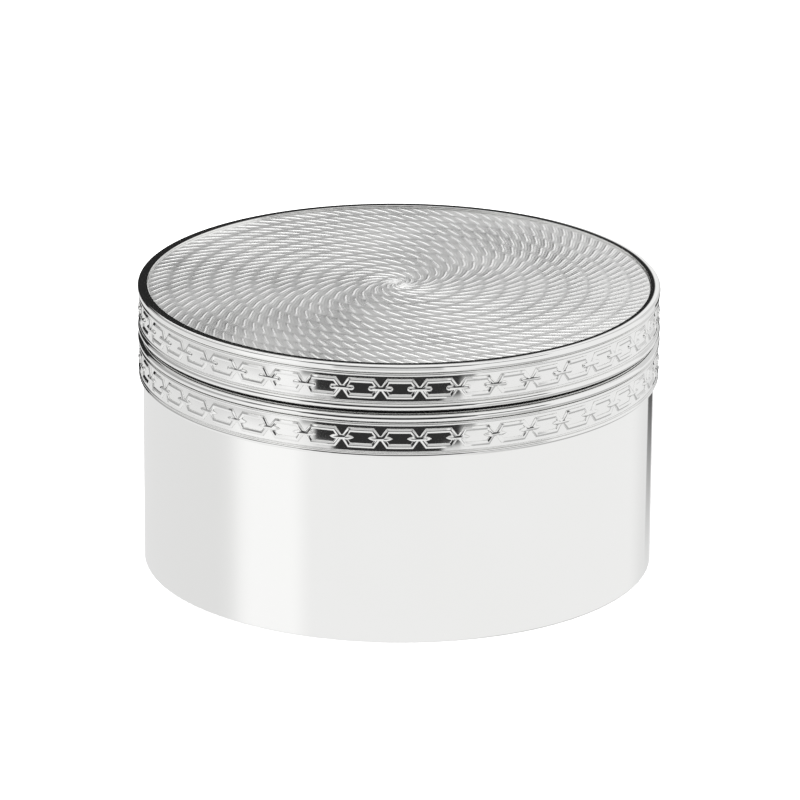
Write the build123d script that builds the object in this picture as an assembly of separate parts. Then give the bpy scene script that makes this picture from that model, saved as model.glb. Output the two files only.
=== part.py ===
from build123d import *
import math
import os

# Round silver-plated pill box with a lift-off lid. Millimetres, +Z up, the origin
# at the centre of the foot. The front, where one link is centred, faces -Y.

# Body
wall_outer_radius = 29.45
wall_thickness = 0.9
body_height = 27.27  # foot to mouth, where the lid sits down
foot_edge_round = 0.12
base_thickness = 0.8
base_recess = 0.4  # underside of the base, up inside the wall

# Collar inside the mouth, which the lid slips over
collar_thickness = 0.6
collar_depth = 7.25  # length soldered inside the wall
collar_lid_clearance = 0.10  # radial, between the collar and the lid's skirt
collar_headroom = 0.54  # between the collar and the lid's plate
collar_lead_in = 0.2

# Mouldings round both bands
bead_projection = 0.55  # beads stand out from the wall
lower_bead_projection = 0.47
body_lower_bead_height = 0.54
body_top_bead_height = 0.98
lid_lower_bead_height = 0.93
rim_height = 0.96
seam_gap = 0.41  # dark line between the two bands
rim_inner_break = 0.10
nose_flats = 3  # in each quarter of a bead's half-round front

# Friezes, each a rolled strip with a thin fillet along both edges
ground_projection = 0.30  # flat ground of the strip, out from the wall
fillet_projection = 0.47
body_frieze_lower_fillet = 0.22
body_frieze_recess = 2.97
body_frieze_upper_fillet = 0.36
lid_frieze_lower_fillet = 0.25
lid_frieze_recess = 2.88
lid_frieze_upper_fillet = 0.40

# Chain relief on both friezes
link_count = 43
link_height = 2.31
link_end = 0.55  # short upright side where two links meet
link_corner = 0.64  # length of each slanting corner along the band
link_spacing = 0.12  # between neighbouring links
link_frame_width = 0.55
link_relief = 0.20  # out from the ground
bar_relief = 0.25
bar_length = 2.77  # the links seen edge-on
bar_width = 0.55
relief_root = 0.15  # links reach this far into the strip

# Lid
lid_plate_thickness = 0.70
disc_rim_width = 0.57  # bezel covers this much of the wall's radius inwards
disc_clearance = 0.04
disc_thickness = 0.66
disc_ring_count = 12
disc_ring_crown = 0.12
lid_lift = 30.0

# Radii and lengths that follow
wall_inner_radius = wall_outer_radius - wall_thickness
collar_inner_radius = wall_inner_radius - collar_thickness
skirt_inner_radius = wall_inner_radius + collar_lid_clearance
bead_outer_radius = wall_outer_radius + bead_projection
lower_bead_outer_radius = wall_outer_radius + lower_bead_projection
ground_radius = wall_outer_radius + ground_projection
fillet_radius = wall_outer_radius + fillet_projection
rim_inner_radius = wall_outer_radius - disc_rim_width
disc_radius = rim_inner_radius - disc_clearance
link_length = 2 * math.pi * ground_radius / link_count - link_spacing

# Heights that follow
body_frieze_top = body_height - body_top_bead_height
body_frieze_height = body_frieze_lower_fillet + body_frieze_recess + body_frieze_upper_fillet
body_frieze_bottom = body_frieze_top - body_frieze_height
body_lower_bead_bottom = body_frieze_bottom - body_lower_bead_height
lid_bead_bottom = body_height + seam_gap
lid_frieze_bottom = lid_bead_bottom + lid_lower_bead_height
lid_frieze_height = lid_frieze_lower_fillet + lid_frieze_recess + lid_frieze_upper_fillet
lid_frieze_top = lid_frieze_bottom + lid_frieze_height
lid_plate_bottom = lid_frieze_top - lid_plate_thickness
rim_top = lid_frieze_top + rim_height
collar_bottom = body_height - collar_depth
collar_top = lid_plate_bottom - collar_headroom


def section(inner_radius, outer_radius, bottom, top):
    """Rectangle in the half-plane that is turned about Z."""
    centre = Pos((inner_radius + outer_radius) / 2, (bottom + top) / 2)
    return centre * Rectangle(outer_radius - inner_radius, top - bottom)


def turned(face):
    """Solid of revolution from a section drawn as (radius, height)."""
    return revolve(Plane.XZ * face, Axis.Z)


def nosed_section(inner_radius, outer_radius, bottom, top):
    """Section with a flat back and a half-round front, the round drawn as equal flats."""
    nose = min((top - bottom) / 2, outer_radius - inner_radius)
    step = math.pi / 2 / nose_flats
    reach = nose / math.cos(step / 2)
    angles = [(index + 0.5) * step for index in range(nose_flats)]
    lower = [(nose - reach * math.cos(a), nose - reach * math.sin(a)) for a in reversed(angles)]
    points = [(inner_radius, bottom)]
    points += [(outer_radius - inward, bottom + up) for inward, up in lower]
    points += [(outer_radius - inward, top - up) for inward, up in reversed(lower)]
    points.append((inner_radius, top))
    return make_face(Polyline(*points, close=True))


def body_wall():
    """Plain drawn tube, its foot edge just broken."""
    tube = section(wall_inner_radius, wall_outer_radius, 0, body_height)
    foot_corners = tube.vertices().group_by(Axis.Y)[0]
    return turned(fillet(foot_corners, min(foot_edge_round, 0.3 * wall_thickness)))


def base_plate():
    """Floor of the box, soldered inside the wall above the foot edge."""
    return turned(section(0, wall_inner_radius, base_recess, base_recess + base_thickness))


def mouth_collar():
    """Thin collar inside the mouth, eased at its top for the lid."""
    tube = section(collar_inner_radius, wall_inner_radius, collar_bottom, collar_top)
    top_corners = tube.vertices().group_by(Axis.Y)[-1]
    return turned(chamfer(top_corners, min(collar_lead_in, 0.4 * collar_thickness)))


def bead(outer_radius, bottom, height):
    """Half-round ring round the wall."""
    return turned(nosed_section(wall_outer_radius, outer_radius, bottom, bottom + height))


def octagon(inset):
    """Eight-sided outline of a link, moved inwards by inset."""
    slope = (link_height - link_end) / 2 / link_corner
    x = link_length / 2 - inset
    y = link_height / 2 - inset
    end = link_end / 2 - inset * (math.hypot(1, slope) - slope)
    flat = x - (y - end) / slope
    upper = [(x, end), (flat, y), (-flat, y), (-x, end)]
    return make_face(Polyline(*upper, *[(-px, -py) for px, py in upper], close=True))


def raised(face, height, top_radius):
    """Face stood on the front of the band and cut off at a radius."""
    root_radius = ground_radius - relief_root
    front = Plane(origin=(0, -root_radius, height), x_dir=(1, 0, 0), z_dir=(0, -1, 0))
    block = extrude(front * face, amount=top_radius - root_radius)
    return block & Pos(0, 0, height) * Cylinder(top_radius, 2 * link_height)


def link_frame(height):
    """One eight-sided link seen face-on, centred on the front."""
    frame = octagon(0) - octagon(link_frame_width)
    return raised(frame, height, ground_radius + link_relief)


def link_bar(height):
    """One link seen edge-on, which joins two frames."""
    bar = raised(SlotOverall(bar_length, bar_width), height, ground_radius + bar_relief)
    return Rot(0, 0, 180 / link_count) * bar


def frieze(bottom, lower_fillet, recess, upper_fillet):
    """Strip with its two fillets, and the chain that stands on its ground."""
    recess_bottom = bottom + lower_fillet
    recess_top = recess_bottom + recess
    top = recess_top + upper_fillet
    strip = section(wall_outer_radius, ground_radius, bottom, top)
    strip += nosed_section(wall_outer_radius, fillet_radius, bottom, recess_bottom)
    strip += nosed_section(wall_outer_radius, fillet_radius, recess_top, top)
    middle = recess_bottom + recess / 2
    frame = link_frame(middle)
    bar = link_bar(middle)
    turns = [Rot(0, 0, 360 * index / link_count) for index in range(link_count)]
    frames = [turn * frame for turn in turns]
    bars = [turn * bar for turn in turns]
    return turned(strip).fuse(*frames, *bars)


def lid_pan():
    """Skirt and plate of the lid, drawn from one sheet."""
    skirt = section(skirt_inner_radius, wall_outer_radius, body_height, lid_frieze_top)
    plate = section(0, skirt_inner_radius, lid_plate_bottom, lid_frieze_top)
    return turned(skirt + plate)


def lid_rim():
    """Bezel that frames the disc, half-round outside."""
    face = nosed_section(rim_inner_radius, bead_outer_radius, lid_frieze_top, rim_top)
    inner_top = face.vertices().group_by(Axis.X)[0].sort_by(Axis.Y)[-1]
    return turned(chamfer(inner_top, min(rim_inner_break, 0.3 * rim_height)))


def guilloche_disc():
    """Engine-turned disc, with a crowned ring for each turn of the pattern."""
    bottom = lid_frieze_top
    valley = bottom + disc_thickness
    crown = valley + disc_ring_crown
    ring_width = disc_radius / disc_ring_count
    edge = Polyline((0, crown), (0, bottom), (disc_radius, bottom), (disc_radius, valley))
    crowns = []
    for index in range(disc_ring_count, 1, -1):
        outer = index * ring_width
        crowns.append(
            ThreePointArc((outer, valley), (outer - ring_width / 2, crown), (outer - ring_width, valley))
        )
    button = TangentArc((0, crown), (ring_width, valley), tangent=(1, 0))
    return turned(make_face(edge + crowns + button))


nodes = {
    "body_wall": body_wall(),
    "base_plate": base_plate(),
    "mouth_collar": mouth_collar(),
    "body_lower_bead": bead(lower_bead_outer_radius, body_lower_bead_bottom, body_lower_bead_height),
    "body_frieze": frieze(
        body_frieze_bottom, body_frieze_lower_fillet, body_frieze_recess, body_frieze_upper_fillet
    ),
    "body_top_bead": bead(bead_outer_radius, body_frieze_top, body_top_bead_height),
    "lid_pan": lid_pan(),
    "lid_lower_bead": bead(bead_outer_radius, lid_bead_bottom, lid_lower_bead_height),
    "lid_frieze": frieze(
        lid_frieze_bottom, lid_frieze_lower_fillet, lid_frieze_recess, lid_frieze_upper_fillet
    ),
    "lid_rim": lid_rim(),
    "guilloche_disc": guilloche_disc(),
}

os.makedirs("parts", exist_ok=True)
for name, solid in nodes.items():
    export_step(solid, f"parts/{name}.step")
print(f"overall: diameter {2 * bead_outer_radius:.2f}, height {rim_top:.2f}")
print(f"lid: slides {lid_lift:.1f} up, clear of the collar after {collar_top - body_height:.2f}")
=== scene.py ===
import math

import bpy
import numpy as np
from mathutils import Euler, Matrix, Vector


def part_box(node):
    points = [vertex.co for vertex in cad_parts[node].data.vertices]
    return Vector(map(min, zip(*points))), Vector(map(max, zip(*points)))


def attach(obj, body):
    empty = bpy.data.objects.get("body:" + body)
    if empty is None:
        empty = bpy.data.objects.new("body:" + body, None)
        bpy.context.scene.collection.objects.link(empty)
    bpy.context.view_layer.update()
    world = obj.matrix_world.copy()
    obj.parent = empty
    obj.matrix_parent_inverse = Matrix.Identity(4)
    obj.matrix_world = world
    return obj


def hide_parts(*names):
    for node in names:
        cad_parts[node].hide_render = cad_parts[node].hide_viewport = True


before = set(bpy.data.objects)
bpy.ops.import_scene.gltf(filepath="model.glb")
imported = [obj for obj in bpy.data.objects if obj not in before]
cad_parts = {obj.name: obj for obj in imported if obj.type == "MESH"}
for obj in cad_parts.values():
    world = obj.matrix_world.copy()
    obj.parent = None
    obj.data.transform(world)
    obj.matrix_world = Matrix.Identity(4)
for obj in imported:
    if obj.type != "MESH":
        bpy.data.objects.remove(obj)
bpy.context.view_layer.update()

# Looks for a round silver-plated box: turned walls and mouldings, a chain in
# relief round both bands, and an engine-turned disc in the lid. Metres throughout;
# every outer size comes from the CAD frame, and small fillets are named here.

MM = 0.001

# Camera: the viewing angle, distance and framing
CAMERA_ELEVATION = math.radians(19.15)
CAMERA_AZIMUTH = math.radians(-0.4)
CAMERA_DISTANCE = 0.809
CAMERA_AIM = Vector((0.19 * MM, 0, 18.70 * MM))
CAMERA_ROLL = math.radians(0.42)
CAMERA_LENS = 315.5

# Turned pieces
TURNS = 512  # flats round each turned piece
ARC_STEPS = 8  # points along a rounded corner
ON_AXIS = 1e-9  # a point nearer to the axis than this lies on it
WALL_THICKNESS = 0.9 * MM
COLLAR_THICKNESS = 0.6 * MM
COLLAR_ROUND = 0.45 * COLLAR_THICKNESS  # rounding along both edges of its mouth
COLLAR_CLEARANCE = 0.1 * MM  # between the collar and the lid's skirt
PLATE_THICKNESS = 0.7 * MM
BEAD_ROUND = 0.499  # a bead's rounding as a share of its height, nearly a half-round
EDGE = 0.05 * MM  # edges that are only just broken
FOOT_EDGE = 0.12 * MM
WALL_TAPER = 0.12 * MM  # the wall draws in by this much towards the foot
PLATE_FILLET = 0.5 * MM  # inside the lid, where its plate turns down into the skirt
SEAM_UNSHADED = 0.07 * MM  # bright foot of the seam, below the strip that is painted black as shade for the seam's shadow gap
RIM_WIDTH = 1.12 * MM
RIM_NOSE = 0.38 * MM  # lower rounding
RIM_SHOULDER = 0.26 * MM  # upper rounding
RIM_CROWN = 4.0 * MM  # rounding between the falling top and its inner bevel
RIM_FALL = 0.05 * MM  # the rim's top falls outwards by this much
RIM_BEVEL = 0.40 * MM  # the inner part of its top, which falls inwards
RIM_BEVEL_FALL = 0.035 * MM

# Friezes
LINKS = 43
GROUND_PROJECTION = 0.30 * MM
GROUND_LEAN = 0.0745  # how steeply the ground leans back at its middle
GROUND_CURVE = 0.0133 / MM  # and how it rounds over
GROUND_STEPS = 4  # points on each half of the ground's curve
FILLET_PROJECTION = 0.47 * MM
FILLET_ROUND = 0.45  # a fillet's rounding as a share of its height
BODY_FILLETS = (0.22 * MM, 0.36 * MM)  # lower and upper
LID_FILLETS = (0.25 * MM, 0.40 * MM)
LINK_HEIGHT = 2.31 * MM
LINK_END = 0.55 * MM  # short upright side where two links meet
LINK_CORNER = 0.64 * MM  # length of each slanting corner along the band
LINK_SPACING = 0.12 * MM
LINK_FRAME_WIDTH = 0.55 * MM
LINK_ROOT = 0.20 * MM  # links reach this far into the strip
BAR_LENGTH = 2.77 * MM
BAR_WIDTH = 0.55 * MM
BAR_STEPS = 8  # sides of a bar's round or pointed end
BAR_TAPER = 0.17  # how far each step of a pointed end draws back
TIP_INSET = 1.8  # a bar's tip moves inwards this much faster than its sides

# Bevelled sections of the links' frames and of the bars: (inwards, off the ground)
FRAME_SECTION = ((0, -LINK_ROOT), (0, 0.02 * MM), (0.06 * MM, 0.08 * MM), (0.24 * MM, 0.16 * MM))
BAR_SECTION = ((0, -LINK_ROOT), (0, 0.06 * MM), (0.06 * MM, 0.13 * MM), (0.22 * MM, 0.215 * MM))

# Shading of the strips
CREASE = math.radians(18)  # sharper edges than this stay crisp
STRIP_REACH = 0.004 * MM  # a point nearer to the outline than this lies on the strip
STRIP_FACING = 0.97  # least agreement between a face and the outline's normals

# Engine-turned disc
RING_STRANDS = (10, 17, 24, 31, 41, 51, 61, 71, 81, 91, 101, 111)  # from the centre out
RING_LEAD = 2.4  # radians from one ring's start to the next, so that they don't line up
RING_GAP = 0.20 * MM  # floor between two rings
CENTRE_RADIUS = 0.25 * MM
STRAND_COLUMNS = 18  # points across a strand
STRAND_ROWS = (0, 0.10, 0.27, 0.5, 0.73, 0.90, 1)  # and along it
STRAND_SHIFT = 2.1 * MM  # each strand runs on by this much across its ring
STRAND_RELIEF = 0.05 * MM
STRAND_CREST = 0.78  # share of the relief in the crests between strands
STRAND_FINE = 0.22  # and in the finer ones inside a strand
DISC_SINK = 0.01 * MM  # the highest crest stays this far under the CAD's


# ---- Turned pieces --------------------------------------------------------

def rounded(corners):
    """Points and outward normals of a closed outline. Corners are (radius, height,
    rounding), anticlockwise when radius runs right and height up. A corner without
    rounding is a point on a straight side."""
    outline = []
    count = len(corners)
    for index, (x, y, rounding) in enumerate(corners):
        here = Vector((x, y))
        if x < ON_AXIS:
            outline.append((here, Vector((0, 0))))
            continue
        back = (Vector(corners[index - 1][:2]) - here).normalized()
        ahead = (Vector(corners[(index + 1) % count][:2]) - here).normalized()
        if rounding == 0:
            along = (ahead - back).normalized()
            outline.append((here, Vector((along.y, -along.x))))
            continue
        turn = back.angle(ahead)
        centre = here + (back + ahead).normalized() * rounding / math.sin(turn / 2)
        start = (here + back * rounding / math.tan(turn / 2) - centre).normalized()
        end = (here + ahead * rounding / math.tan(turn / 2) - centre).normalized()
        convex = back.x * ahead.y - back.y * ahead.x < 0
        sign = 1 if convex else -1
        for step in range(ARC_STEPS + 1):
            arm = start.slerp(end, step / ARC_STEPS)
            outline.append((centre + arm * rounding, arm * sign))
    return outline


def new_piece(name, vertices, faces, normals=None):
    """Mesh object from lists, smooth shaded, with its own vertex normals if given."""
    mesh = bpy.data.meshes.new(name)
    mesh.from_pydata(vertices, [], faces)
    mesh.update()
    mesh.shade_smooth()
    if normals is not None:
        mesh.normals_split_custom_set_from_vertices(normals)
    piece = bpy.data.objects.new(name, mesh)
    bpy.context.scene.collection.objects.link(piece)
    return piece


def turned(name, outline):
    """Solid of revolution about Z from a closed outline of points and normals. One that
    meets the axis starts at its lowest point there."""
    vertices, normals, rows = [], [], []
    for point, normal in outline:
        first = len(vertices)
        if point.x < ON_AXIS:
            rows.append([first] * TURNS)
            vertices.append((0, 0, point.y))
            normals.append((0, 0, 1 if first else -1))
            continue
        rows.append(list(range(first, first + TURNS)))
        for turn in range(TURNS):
            angle = 2 * math.pi * turn / TURNS
            c, s = math.cos(angle), math.sin(angle)
            vertices.append((point.x * c, point.x * s, point.y))
            normals.append((normal.x * c, normal.x * s, normal.y))
    faces = []
    for row, above in zip(rows, rows[1:] + rows[:1]):
        for turn in range(TURNS):
            after = (turn + 1) % TURNS
            corners = dict.fromkeys((row[turn], row[after], above[after], above[turn]))
            if len(corners) > 2:
                faces.append(list(corners))
    return new_piece(name, vertices, faces, normals)


def radius_and_span(node):
    """Outer radius, bottom and top of a CAD node."""
    low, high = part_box(node)
    return high.x, low.z, high.z


def bead_corners(back, front, bottom, top):
    """Half-round bead: flat back against the wall, round front."""
    nose = BEAD_ROUND * min(top - bottom, 2 * (front - back))
    return [(back, bottom, EDGE / 4), (front, bottom, nose), (front, top, nose), (back, top, EDGE / 4)]


# ---- Chain friezes --------------------------------------------------------

def octagon_outline(inset):
    """Eight-sided link outline, moved inwards by inset, with two more points on each
    long side so that it follows the round wall."""
    slope = (LINK_HEIGHT - LINK_END) / 2 / LINK_CORNER
    half_length = LINK_LENGTH / 2 - inset
    half_height = LINK_HEIGHT / 2 - inset
    end = LINK_END / 2 - inset * (math.hypot(1, slope) - slope)
    flat = half_length - (half_height - end) / slope
    quarter = [(half_length, end), (flat, half_height), (flat / 3, half_height)]
    upper = quarter + [(-x, y) for x, y in reversed(quarter)]
    return upper + [(-x, -y) for x, y in upper]


def bar_outline(inset, pointed):
    """Outline of a bar with round or pointed ends, moved inwards by inset, with two
    more points on each long side so that it follows the round wall."""
    radius = BAR_WIDTH / 2 - inset
    straight = (BAR_LENGTH - BAR_WIDTH) / 2
    tip = BAR_LENGTH / 2 - TIP_INSET * inset
    right = []
    for step in range(BAR_STEPS + 1):
        if pointed:
            off_tip = step - BAR_STEPS // 2
            share = 1 - BAR_TAPER * abs(off_tip)
            right.append((tip * share, math.copysign(radius * (1 - share ** 4), off_tip)))
        else:
            angle = math.pi * step / BAR_STEPS - math.pi / 2
            right.append((straight + radius * math.cos(angle), radius * math.sin(angle)))
    right.append((straight / 4, radius))
    right.append((-straight / 4, radius))
    return right + [(-x, -y) for x, y in right]


def leaned(ground, up):
    """Radius of the ground at a height above the frieze's middle."""
    return ground - GROUND_LEAN * up - GROUND_CURVE * up * up


def on_band(point, lift, turn, middle, ground):
    """Flat (along, up) point, lifted off the ground, wrapped round the band at a turn."""
    along, up = point
    angle = turn - math.pi / 2 + along / ground
    radius = leaned(ground, up) + lift
    return (radius * math.cos(angle), radius * math.sin(angle), middle + up)


def stacked(rings, turn, middle, ground, vertices, faces, hollow):
    """Adds one closed relief: (outline, lift) rings joined in order, each the same
    length. A hollow one joins its last ring to its first, a solid one is capped."""
    first = len(vertices)
    size = len(rings[0][0])
    for outline, lift in rings:
        vertices.extend(on_band(point, lift, turn, middle, ground) for point in outline)
    count = len(rings)
    for ring in range(count if hollow else count - 1):
        low = first + ring * size
        high = first + (ring + 1) % count * size
        for side in range(size):
            after = (side + 1) % size
            faces.append([low + side, low + after, high + after, high + side])
    if not hollow:
        faces.append([first + side for side in reversed(range(size))])
        faces.append([first + (count - 1) * size + side for side in range(size)])


def chain(name, rings, offset, middle, ground, hollow):
    """All the links or all the bars of one band, as one mesh object."""
    vertices, faces = [], []
    for link in range(LINKS):
        turn = 2 * math.pi * (link + offset) / LINKS
        stacked(rings, turn, middle, ground, vertices, faces, hollow)
    return new_piece(name, vertices, faces)


def joined(base, addition):
    """Union of two closed meshes. The first keeps its name, the second goes."""
    union = base.modifiers.new("union", "BOOLEAN")
    union.operation = "UNION"
    union.solver = "MANIFOLD"
    union.object = addition
    graph = bpy.context.evaluated_depsgraph_get()
    mesh = bpy.data.meshes.new_from_object(base.evaluated_get(graph))
    base.modifiers.remove(union)
    base.data = mesh
    bpy.data.objects.remove(addition)
    return base


def strip_normals(piece, outline):
    """Shades the strip's own faces with the outline's exact normals, and leaves crisp
    edges on the links."""
    mesh = piece.data
    mesh.shade_smooth()
    mesh.set_sharp_from_angle(angle=CREASE)
    points = np.array([point for point, _ in outline])
    bends = np.array([normal for _, normal in outline])
    ahead = np.roll(points, -1, axis=0) - points
    length = (ahead ** 2).sum(1)
    places = np.zeros(len(mesh.vertices) * 3)
    mesh.vertices.foreach_get("co", places)
    places = places.reshape(-1, 3)
    radial = np.hypot(places[:, 0], places[:, 1])
    flat = np.stack([radial, places[:, 2]], 1)
    share = ((flat[:, None] - points) * ahead).sum(2) / length
    share = np.clip(share, 0, 1)
    gap = flat[:, None] - points - share[..., None] * ahead
    gap = (gap ** 2).sum(2)
    nearest = gap.argmin(1)
    rows = np.arange(len(places))
    on_strip = gap[rows, nearest] < STRIP_REACH ** 2
    weight = share[rows, nearest][:, None]
    bend = bends[nearest] * (1 - weight) + np.roll(bends, -1, axis=0)[nearest] * weight
    bend /= np.linalg.norm(bend, axis=1)[:, None]
    outward = places[:, :2] / radial[:, None]
    exact = np.concatenate([outward * bend[:, :1], bend[:, 1:]], 1)
    normals = np.array([normal.vector[:] for normal in mesh.corner_normals])
    for face in mesh.polygons:
        corners = list(face.vertices)
        if not on_strip[corners].all():
            continue
        if np.dot(exact[corners].mean(0), face.normal) < STRIP_FACING:
            continue
        for loop, corner in zip(face.loop_indices, corners):
            normals[loop] = exact[corner]
    mesh.normals_split_custom_set(normals)


def frieze(name, node, back, fillets, pointed):
    """Strip with its two fillets, and the chain that stands on its ground."""
    _, bottom, top = radius_and_span(node)
    ground = back + GROUND_PROJECTION
    front = back + FILLET_PROJECTION
    low = bottom + fillets[0]
    high = top - fillets[1]
    middle = (low + high) / 2
    half = (high - low) / 2
    ups = [half * step / GROUND_STEPS for step in range(1 - GROUND_STEPS, GROUND_STEPS)]
    outline = rounded([
        (back, bottom, EDGE / 4),
        (front, bottom, FILLET_ROUND * fillets[0]),
        (front, low, FILLET_ROUND * fillets[0]),
        (leaned(ground, -half), low, EDGE / 2),
        *[(leaned(ground, up), middle + up, 0) for up in ups],
        (leaned(ground, half), high, EDGE / 2),
        (front, high, FILLET_ROUND * fillets[1]),
        (front, top, FILLET_ROUND * fillets[1]),
        (back, top, EDGE / 4),
    ])
    strip = turned(name, outline)
    inner_section = [(LINK_FRAME_WIDTH - inset, lift) for inset, lift in reversed(FRAME_SECTION)]
    rings = [(octagon_outline(inset), lift) for inset, lift in (*FRAME_SECTION, *inner_section)]
    strip = joined(strip, chain(name + "_links", rings, 0, middle, ground, True))
    rings = [(bar_outline(inset, pointed), lift) for inset, lift in BAR_SECTION]
    strip = joined(strip, chain(name + "_bars", rings, 0.5, middle, ground, False))
    strip_normals(strip, outline)
    return strip


# ---- Engine-turned disc ---------------------------------------------------

def strand_height(across, along):
    """Relief of one hollow strand, 0 to 1. across runs from -1 to 1 over its width,
    between two crests with finer ones inside, and along from 0 at the ring's inner
    edge to 1 at its outer edge, where the crests run out."""
    crest = abs(across) ** 3
    fine = abs(((across + 1) * 1.5) % 1 * 2 - 1) ** 2
    swell = 1 - abs(2 * along - 1) ** 3
    return (STRAND_CREST * crest + STRAND_FINE * fine) * swell


def ring_patch(inner, outer, strands, lead, floor, vertices, faces):
    """One ring of slanted strands. Returns its inner and outer rows of vertices."""
    columns = strands * STRAND_COLUMNS
    rows = []
    for along in STRAND_ROWS:
        radius = inner + (outer - inner) * along
        ease = along * along * (3 - 2 * along)
        slide = (0.5 * along + 0.5 * ease) * STRAND_SHIFT / ((inner + outer) / 2)
        first = len(vertices)
        rows.append(list(range(first, first + columns)))
        for column in range(columns):
            across = 2 * (column % STRAND_COLUMNS) / STRAND_COLUMNS - 1
            angle = 2 * math.pi * column / columns + slide + lead
            lift = STRAND_RELIEF * strand_height(across, along)
            vertices.append((radius * math.cos(angle), radius * math.sin(angle), floor + lift))
    for low, high in zip(rows, rows[1:]):
        for column in range(columns):
            after = (column + 1) % columns
            faces.append([low[column], high[column], high[after], low[after]])
    return rows[0], rows[-1]


def bridge(inner, outer, vertices, faces):
    """Joins two circles of different vertex counts with triangles, in order of angle."""
    def unwrapped(row):
        angles = np.unwrap([math.atan2(vertices[v][1], vertices[v][0]) for v in row])
        return list(angles) + [angles[0] + 2 * math.pi]
    low, high = unwrapped(inner), unwrapped(outer)
    shift = int(np.argmin([abs((a - low[0] + math.pi) % (2 * math.pi) - math.pi) for a in high[:-1]]))
    outer = outer[shift:] + outer[:shift]
    high = unwrapped(outer)
    turn = round((low[0] - high[0]) / (2 * math.pi)) * 2 * math.pi
    high = [angle + turn for angle in high]
    i = j = 0
    while i < len(inner) or j < len(outer):
        a, b = inner[i % len(inner)], outer[j % len(outer)]
        if j >= len(outer) or (i < len(inner) and low[i + 1] < high[j + 1]):
            faces.append([a, b, inner[(i + 1) % len(inner)]])
            i += 1
        else:
            faces.append([a, b, outer[(j + 1) % len(outer)]])
            j += 1


def guilloche(name, node):
    """Twelve rings of strands on one closed disc."""
    radius, bottom, top = radius_and_span(node)
    floor = top - STRAND_RELIEF - DISC_SINK
    vertices, faces = [], []
    pitch = radius / len(RING_STRANDS)
    edge = None
    for index, strands in enumerate(RING_STRANDS):
        inner = max(index * pitch + RING_GAP / 2, CENTRE_RADIUS)
        outer = (index + 1) * pitch - RING_GAP / 2
        lead = RING_LEAD * index
        low, high = ring_patch(inner, outer, strands, lead, floor, vertices, faces)
        if edge is None:
            faces.append(low[:])
        else:
            bridge(edge, low, vertices, faces)
        edge = high
    for height in (floor, bottom):
        first = len(vertices)
        count = len(edge)
        circle = list(range(first, first + count))
        for v in edge:
            x, y, _ = vertices[v]
            scale = radius / math.hypot(x, y)
            vertices.append((x * scale, y * scale, height))
        for side in range(count):
            after = (side + 1) % count
            faces.append([edge[side], circle[side], circle[after], edge[after]])
        edge = circle
    faces.append(edge[::-1])
    return new_piece(name, vertices, faces)


# ---- Materials ------------------------------------------------------------

SMEAR_SCALE = 90  # noise cells to a metre
SMEAR_GLOSS = (0.8, 1.3)  # least and most roughness in the smears
SMEAR_TINT = 0.015  # how much darker the smears are
SMEAR_BLUE_TINT = 0.025  # and in blue, which warms them a little
WIPING_SCALE = 4000  # the same for the fine wiping marks
WIPING_DEPTH = 0.00001


def silver(name, colour, roughness, scratch=0.0, tarnish=0.0):
    """Polished metal with faint smears, fine wiping marks and small colour changes."""
    material = bpy.data.materials.new(name)
    material.use_nodes = True
    nodes, links = material.node_tree.nodes, material.node_tree.links
    shader = nodes["Principled BSDF"]
    shader.inputs["Metallic"].default_value = 1.0
    red, green, blue = colour
    worn = 1 - SMEAR_TINT - tarnish
    worn_blue = 1 - SMEAR_BLUE_TINT - tarnish
    place = nodes.new("ShaderNodeTexCoord")
    smear = nodes.new("ShaderNodeTexNoise")
    smear.inputs["Scale"].default_value = SMEAR_SCALE
    smear.inputs["Detail"].default_value = 4
    links.new(place.outputs["Object"], smear.inputs["Vector"])
    gloss = nodes.new("ShaderNodeMapRange")
    gloss.inputs["To Min"].default_value = roughness * SMEAR_GLOSS[0]
    gloss.inputs["To Max"].default_value = roughness * SMEAR_GLOSS[1]
    links.new(smear.outputs["Fac"], gloss.inputs["Value"])
    links.new(gloss.outputs["Result"], shader.inputs["Roughness"])
    tint = nodes.new("ShaderNodeMix")
    tint.data_type = "RGBA"
    tint.inputs["A"].default_value = (red, green, blue, 1)
    tint.inputs["B"].default_value = (red * worn, green * worn, blue * worn_blue, 1)
    links.new(smear.outputs["Fac"], tint.inputs["Factor"])
    links.new(tint.outputs["Result"], shader.inputs["Base Color"])
    if scratch:
        fine = nodes.new("ShaderNodeTexNoise")
        fine.inputs["Scale"].default_value = WIPING_SCALE
        fine.inputs["Detail"].default_value = 2
        links.new(place.outputs["Object"], fine.inputs["Vector"])
        bump = nodes.new("ShaderNodeBump")
        bump.inputs["Strength"].default_value = scratch
        bump.inputs["Distance"].default_value = WIPING_DEPTH
        links.new(fine.outputs["Fac"], bump.inputs["Height"])
        links.new(bump.outputs["Normal"], shader.inputs["Normal"])
    return material


# ---- Assembly of the pieces -----------------------------------------------

def finished(piece, node, body, slot, *materials):
    """Puts a piece on its body, in place of its CAD node."""
    piece.data.materials.clear()
    for material in materials:
        piece.data.materials.append(material)
    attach(piece, body)
    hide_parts(node)
    return piece


polished = silver("polished_silver", (0.94, 0.94, 0.935), 0.045)
chased = silver("chain_silver", (0.92, 0.92, 0.915), 0.07, tarnish=0.02)
turned_silver = silver("engine_turned_silver", (0.90, 0.90, 0.895), 0.27)
inner_silver = silver("inner_silver", (0.88, 0.88, 0.87), 0.20, scratch=0.3)
# Near-black metal for the skirt's strip in the seam: painted shade standing in for the shadow in the
# gap between the two bands
painted_seam_shade = silver("painted_seam_shadow", (0.012, 0.012, 0.012), 0.55)

wall_radius, foot, mouth = radius_and_span("body_wall")
wall_inside = wall_radius - WALL_THICKNESS
LINK_LENGTH = 2 * math.pi * (wall_radius + GROUND_PROJECTION) / LINKS - LINK_SPACING

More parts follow.
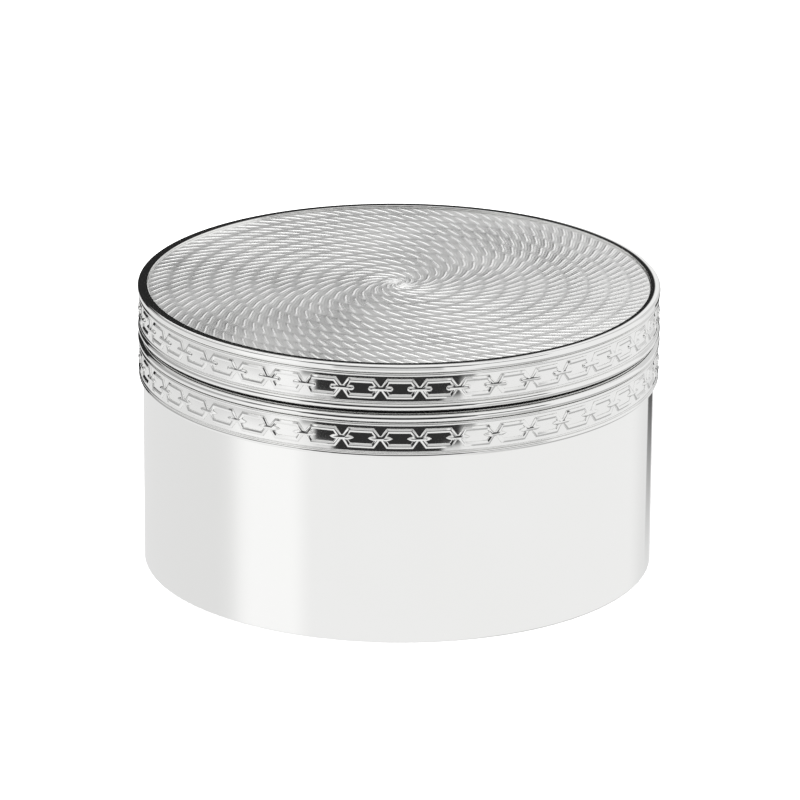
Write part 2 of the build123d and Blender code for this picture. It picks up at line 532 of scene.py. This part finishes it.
wall = turned("body_wall_tube", rounded([
    (wall_inside, foot, FOOT_EDGE),
    (wall_radius - WALL_TAPER, foot, FOOT_EDGE),
    (wall_radius, mouth, EDGE),
    (wall_inside, mouth, EDGE),
]))
finished(wall, "body_wall", "box", "polished_silver", polished)

_, base_bottom, base_top = radius_and_span("base_plate")
base = turned("base_floor", rounded([
    (0, base_bottom, 0),
    (wall_inside, base_bottom, EDGE),
    (wall_inside, base_top, EDGE),
    (0, base_top, 0),
]))
finished(base, "base_plate", "box", "inner_silver", inner_silver)

_, collar_bottom, collar_top = radius_and_span("mouth_collar")
collar = turned("mouth_collar_ring", rounded([
    (wall_inside - COLLAR_THICKNESS, collar_bottom, EDGE),
    (wall_inside, collar_bottom, EDGE),
    (wall_inside, collar_top, COLLAR_ROUND),
    (wall_inside - COLLAR_THICKNESS, collar_top, COLLAR_ROUND),
]))
finished(collar, "mouth_collar", "box", "inner_silver", inner_silver)

for node, body in (("body_lower_bead", "box"), ("body_top_bead", "box"), ("lid_lower_bead", "lid")):
    front, low, high = radius_and_span(node)
    bead = turned(node + "_ring", rounded(bead_corners(wall_radius, front, low, high)))
    finished(bead, node, body, "polished_silver", polished)

_, skirt_bottom, pan_top = radius_and_span("lid_pan")
_, seam_top, _ = radius_and_span("lid_lower_bead")
seam_low = skirt_bottom + SEAM_UNSHADED
skirt_inside = wall_inside + COLLAR_CLEARANCE
pan = turned("lid_pan_shell", rounded([
    (0, pan_top - PLATE_THICKNESS, 0),
    (skirt_inside, pan_top - PLATE_THICKNESS, PLATE_FILLET),
    (skirt_inside, skirt_bottom, EDGE),
    (wall_radius, skirt_bottom, EDGE),
    (wall_radius, seam_low, 0),
    (wall_radius, seam_top, 0),
    (wall_radius, pan_top, EDGE),
    (0, pan_top, 0),
]))
finished(pan, "lid_pan", "lid", "inner_silver", inner_silver, painted_seam_shade)
# The skirt's outer strip inside the seam takes the near-black material, painted shade for the gap's
# shadow
for face in pan.data.polygons:
    middle = face.center
    if seam_low < middle.z < seam_top and math.hypot(middle.x, middle.y) > wall_radius - EDGE:
        face.material_index = 1

rim_front, rim_bottom, rim_top = radius_and_span("lid_rim")
rim = turned("lid_rim_bezel", rounded([
    (rim_front - RIM_WIDTH, rim_bottom, EDGE),
    (rim_front, rim_bottom, RIM_NOSE),
    (rim_front, rim_top - RIM_FALL, RIM_SHOULDER),
    (rim_front - RIM_WIDTH + RIM_BEVEL, rim_top, RIM_CROWN),
    (rim_front - RIM_WIDTH, rim_top - RIM_BEVEL_FALL, EDGE / 2),
]))
finished(rim, "lid_rim", "lid", "polished_silver", polished)

finished(frieze("body_chain_band", "body_frieze", wall_radius, BODY_FILLETS, True),
         "body_frieze", "box", "chain_silver", chased)
finished(frieze("lid_chain_band", "lid_frieze", wall_radius, LID_FILLETS, False),
         "lid_frieze", "lid", "chain_silver", chased)
finished(guilloche("engine_turned_disc", "guilloche_disc"),
         "guilloche_disc", "lid", "engine_turned_silver", turned_silver)


# ---- Floor, light and camera ----------------------------------------------

def studio_floor():
    """Plain pale floor. It isn't mirrored in the metal, which shows the studio."""
    reach = 3.0
    corners = [(-reach, -reach, 0), (reach, -reach, 0), (reach, reach, 0), (-reach, reach, 0)]
    floor = new_piece("studio_floor", corners, [[0, 1, 2, 3]])
    material = bpy.data.materials.new("pale_floor")
    material.use_nodes = True
    shader = material.node_tree.nodes["Principled BSDF"]
    shader.inputs["Base Color"].default_value = (0.93, 0.93, 0.93, 1)
    shader.inputs["Roughness"].default_value = 1.0
    floor.data.materials.append(material)
    floor.visible_glossy = False


# Grey cards of the studio that the metal reflects: centre azimuth and half width,
# lowest and highest elevation, soft edge, all in degrees, and how bright. Azimuth 0
# is in front of the box, towards the camera, and 90 is to the right.
CARDS = (
    (-62, 18, -30, 60, 6, 1.00),  # the wall's bright band at the left
    (-150, 70, -34, -12, 12, 0.78),  # the wall left of it
    (-105, 45, -9, 28, 6, 0.42),  # the bands at the left
    (-5, 24, -18.5, -12, 1.5, 0.03),  # the friezes' ground in front, its lower part
    (-5, 32, -14, -6, 1.5, 0.03),  # and its upper part
    (-5, 38, 26, 50, 3, 0.60),  # upper side of the beads in front
    (-5, 38, -8, 28, 1.5, 0.03),  # dark lines along the beads in front
    (48, 20, 5, 26, 3, 0.12),  # the same lines to the right
    (-56, 15, 5, 26, 3, 0.15),  # and to the left
    (95, 55, -62, -26, 3, 0.50),  # low at the right, for undersides
    (160, 6, -19.8, -5, 1, 0.05),  # the wall's dark stripe at the right
    (180, 55, 28, 64, 4, 0.60),  # behind and above, which the disc's slopes mirror
    (148, 21, -6, 30, 3, 0.68),  # the rim and the bands at the right
    (-160.5, 22.5, -12, 28.5, 0.7, 0.02),  # the rim's black band at the left
    (-173, 14, 28, 50, 5, 1.8),  # light that the disc's crests catch
)
STUDIO_WHITE = 0.90  # what the metal reflects beside the cards
STUDIO_STRENGTH = 2.4  # light on the floor and on everything dull


def studio_world():
    """White all round, with darker cards where CARDS says."""
    world = bpy.data.worlds.new("studio")
    bpy.context.scene.world = world
    world.use_nodes = True
    nodes, links = world.node_tree.nodes, world.node_tree.links
    background = nodes["Background"]

    def maths(operation, first, second=None):
        node = nodes.new("ShaderNodeMath")
        node.operation = operation
        for socket, value in zip(node.inputs, (first, second)):
            if isinstance(value, (int, float)):
                socket.default_value = value
            elif value is not None:
                links.new(value, socket)
        return node.outputs[0]

    def fade(value, start, end):
        node = nodes.new("ShaderNodeMapRange")
        node.interpolation_type = "SMOOTHSTEP"
        links.new(value, node.inputs["Value"])
        node.inputs["From Min"].default_value = start
        node.inputs["From Max"].default_value = end
        return node.outputs["Result"]

    direction = nodes.new("ShaderNodeTexCoord")
    split = nodes.new("ShaderNodeSeparateXYZ")
    links.new(direction.outputs["Generated"], split.inputs[0])
    x, y, z = split.outputs
    elevation = maths("DEGREES", maths("ARCSINE", z))
    azimuth = maths("DEGREES", maths("ARCTAN2", x, maths("MULTIPLY", y, -1)))
    level = STUDIO_WHITE
    for centre, half_width, lowest, highest, soft, value in CARDS:
        away = maths("WRAP", maths("SUBTRACT", azimuth, centre), 180)
        away.node.inputs[2].default_value = -180
        away = maths("ABSOLUTE", away)
        sides = fade(away, half_width + soft, half_width - soft)
        over = fade(elevation, lowest - soft, lowest + soft)
        under = fade(elevation, highest + soft, highest - soft)
        mask = maths("MULTIPLY", sides, maths("MULTIPLY", over, under))
        blend = nodes.new("ShaderNodeMix")
        links.new(mask, blend.inputs["Factor"])
        if isinstance(level, float):
            blend.inputs["A"].default_value = level
        else:
            links.new(level, blend.inputs["A"])
        blend.inputs["B"].default_value = value
        level = blend.outputs["Result"]
    path = nodes.new("ShaderNodeLightPath")
    seen = nodes.new("ShaderNodeMix")
    links.new(path.outputs["Is Glossy Ray"], seen.inputs["Factor"])
    seen.inputs["A"].default_value = STUDIO_STRENGTH
    links.new(level, seen.inputs["B"])
    links.new(seen.outputs["Result"], background.inputs["Strength"])
    background.inputs["Color"].default_value = (1, 1, 1, 1)


def studio_camera():
    """Long lens at the height from which the box is seen."""
    data = bpy.data.cameras.new("camera")
    data.lens = CAMERA_LENS
    camera = bpy.data.objects.new("camera", data)
    bpy.context.scene.collection.objects.link(camera)
    back = Vector((0, -math.cos(CAMERA_ELEVATION), math.sin(CAMERA_ELEVATION)))
    back.rotate(Euler((0, 0, CAMERA_AZIMUTH)))
    camera.location = CAMERA_AIM + back * CAMERA_DISTANCE
    turn = Euler((math.pi / 2 - CAMERA_ELEVATION, 0, CAMERA_AZIMUTH)).to_matrix()
    turn = turn @ Matrix.Rotation(CAMERA_ROLL, 3, "Z")
    camera.rotation_euler = turn.to_euler()
    bpy.context.scene.camera = camera


studio_floor()
studio_world()
studio_camera()
bpy.context.scene.view_settings.view_transform = "Standard"
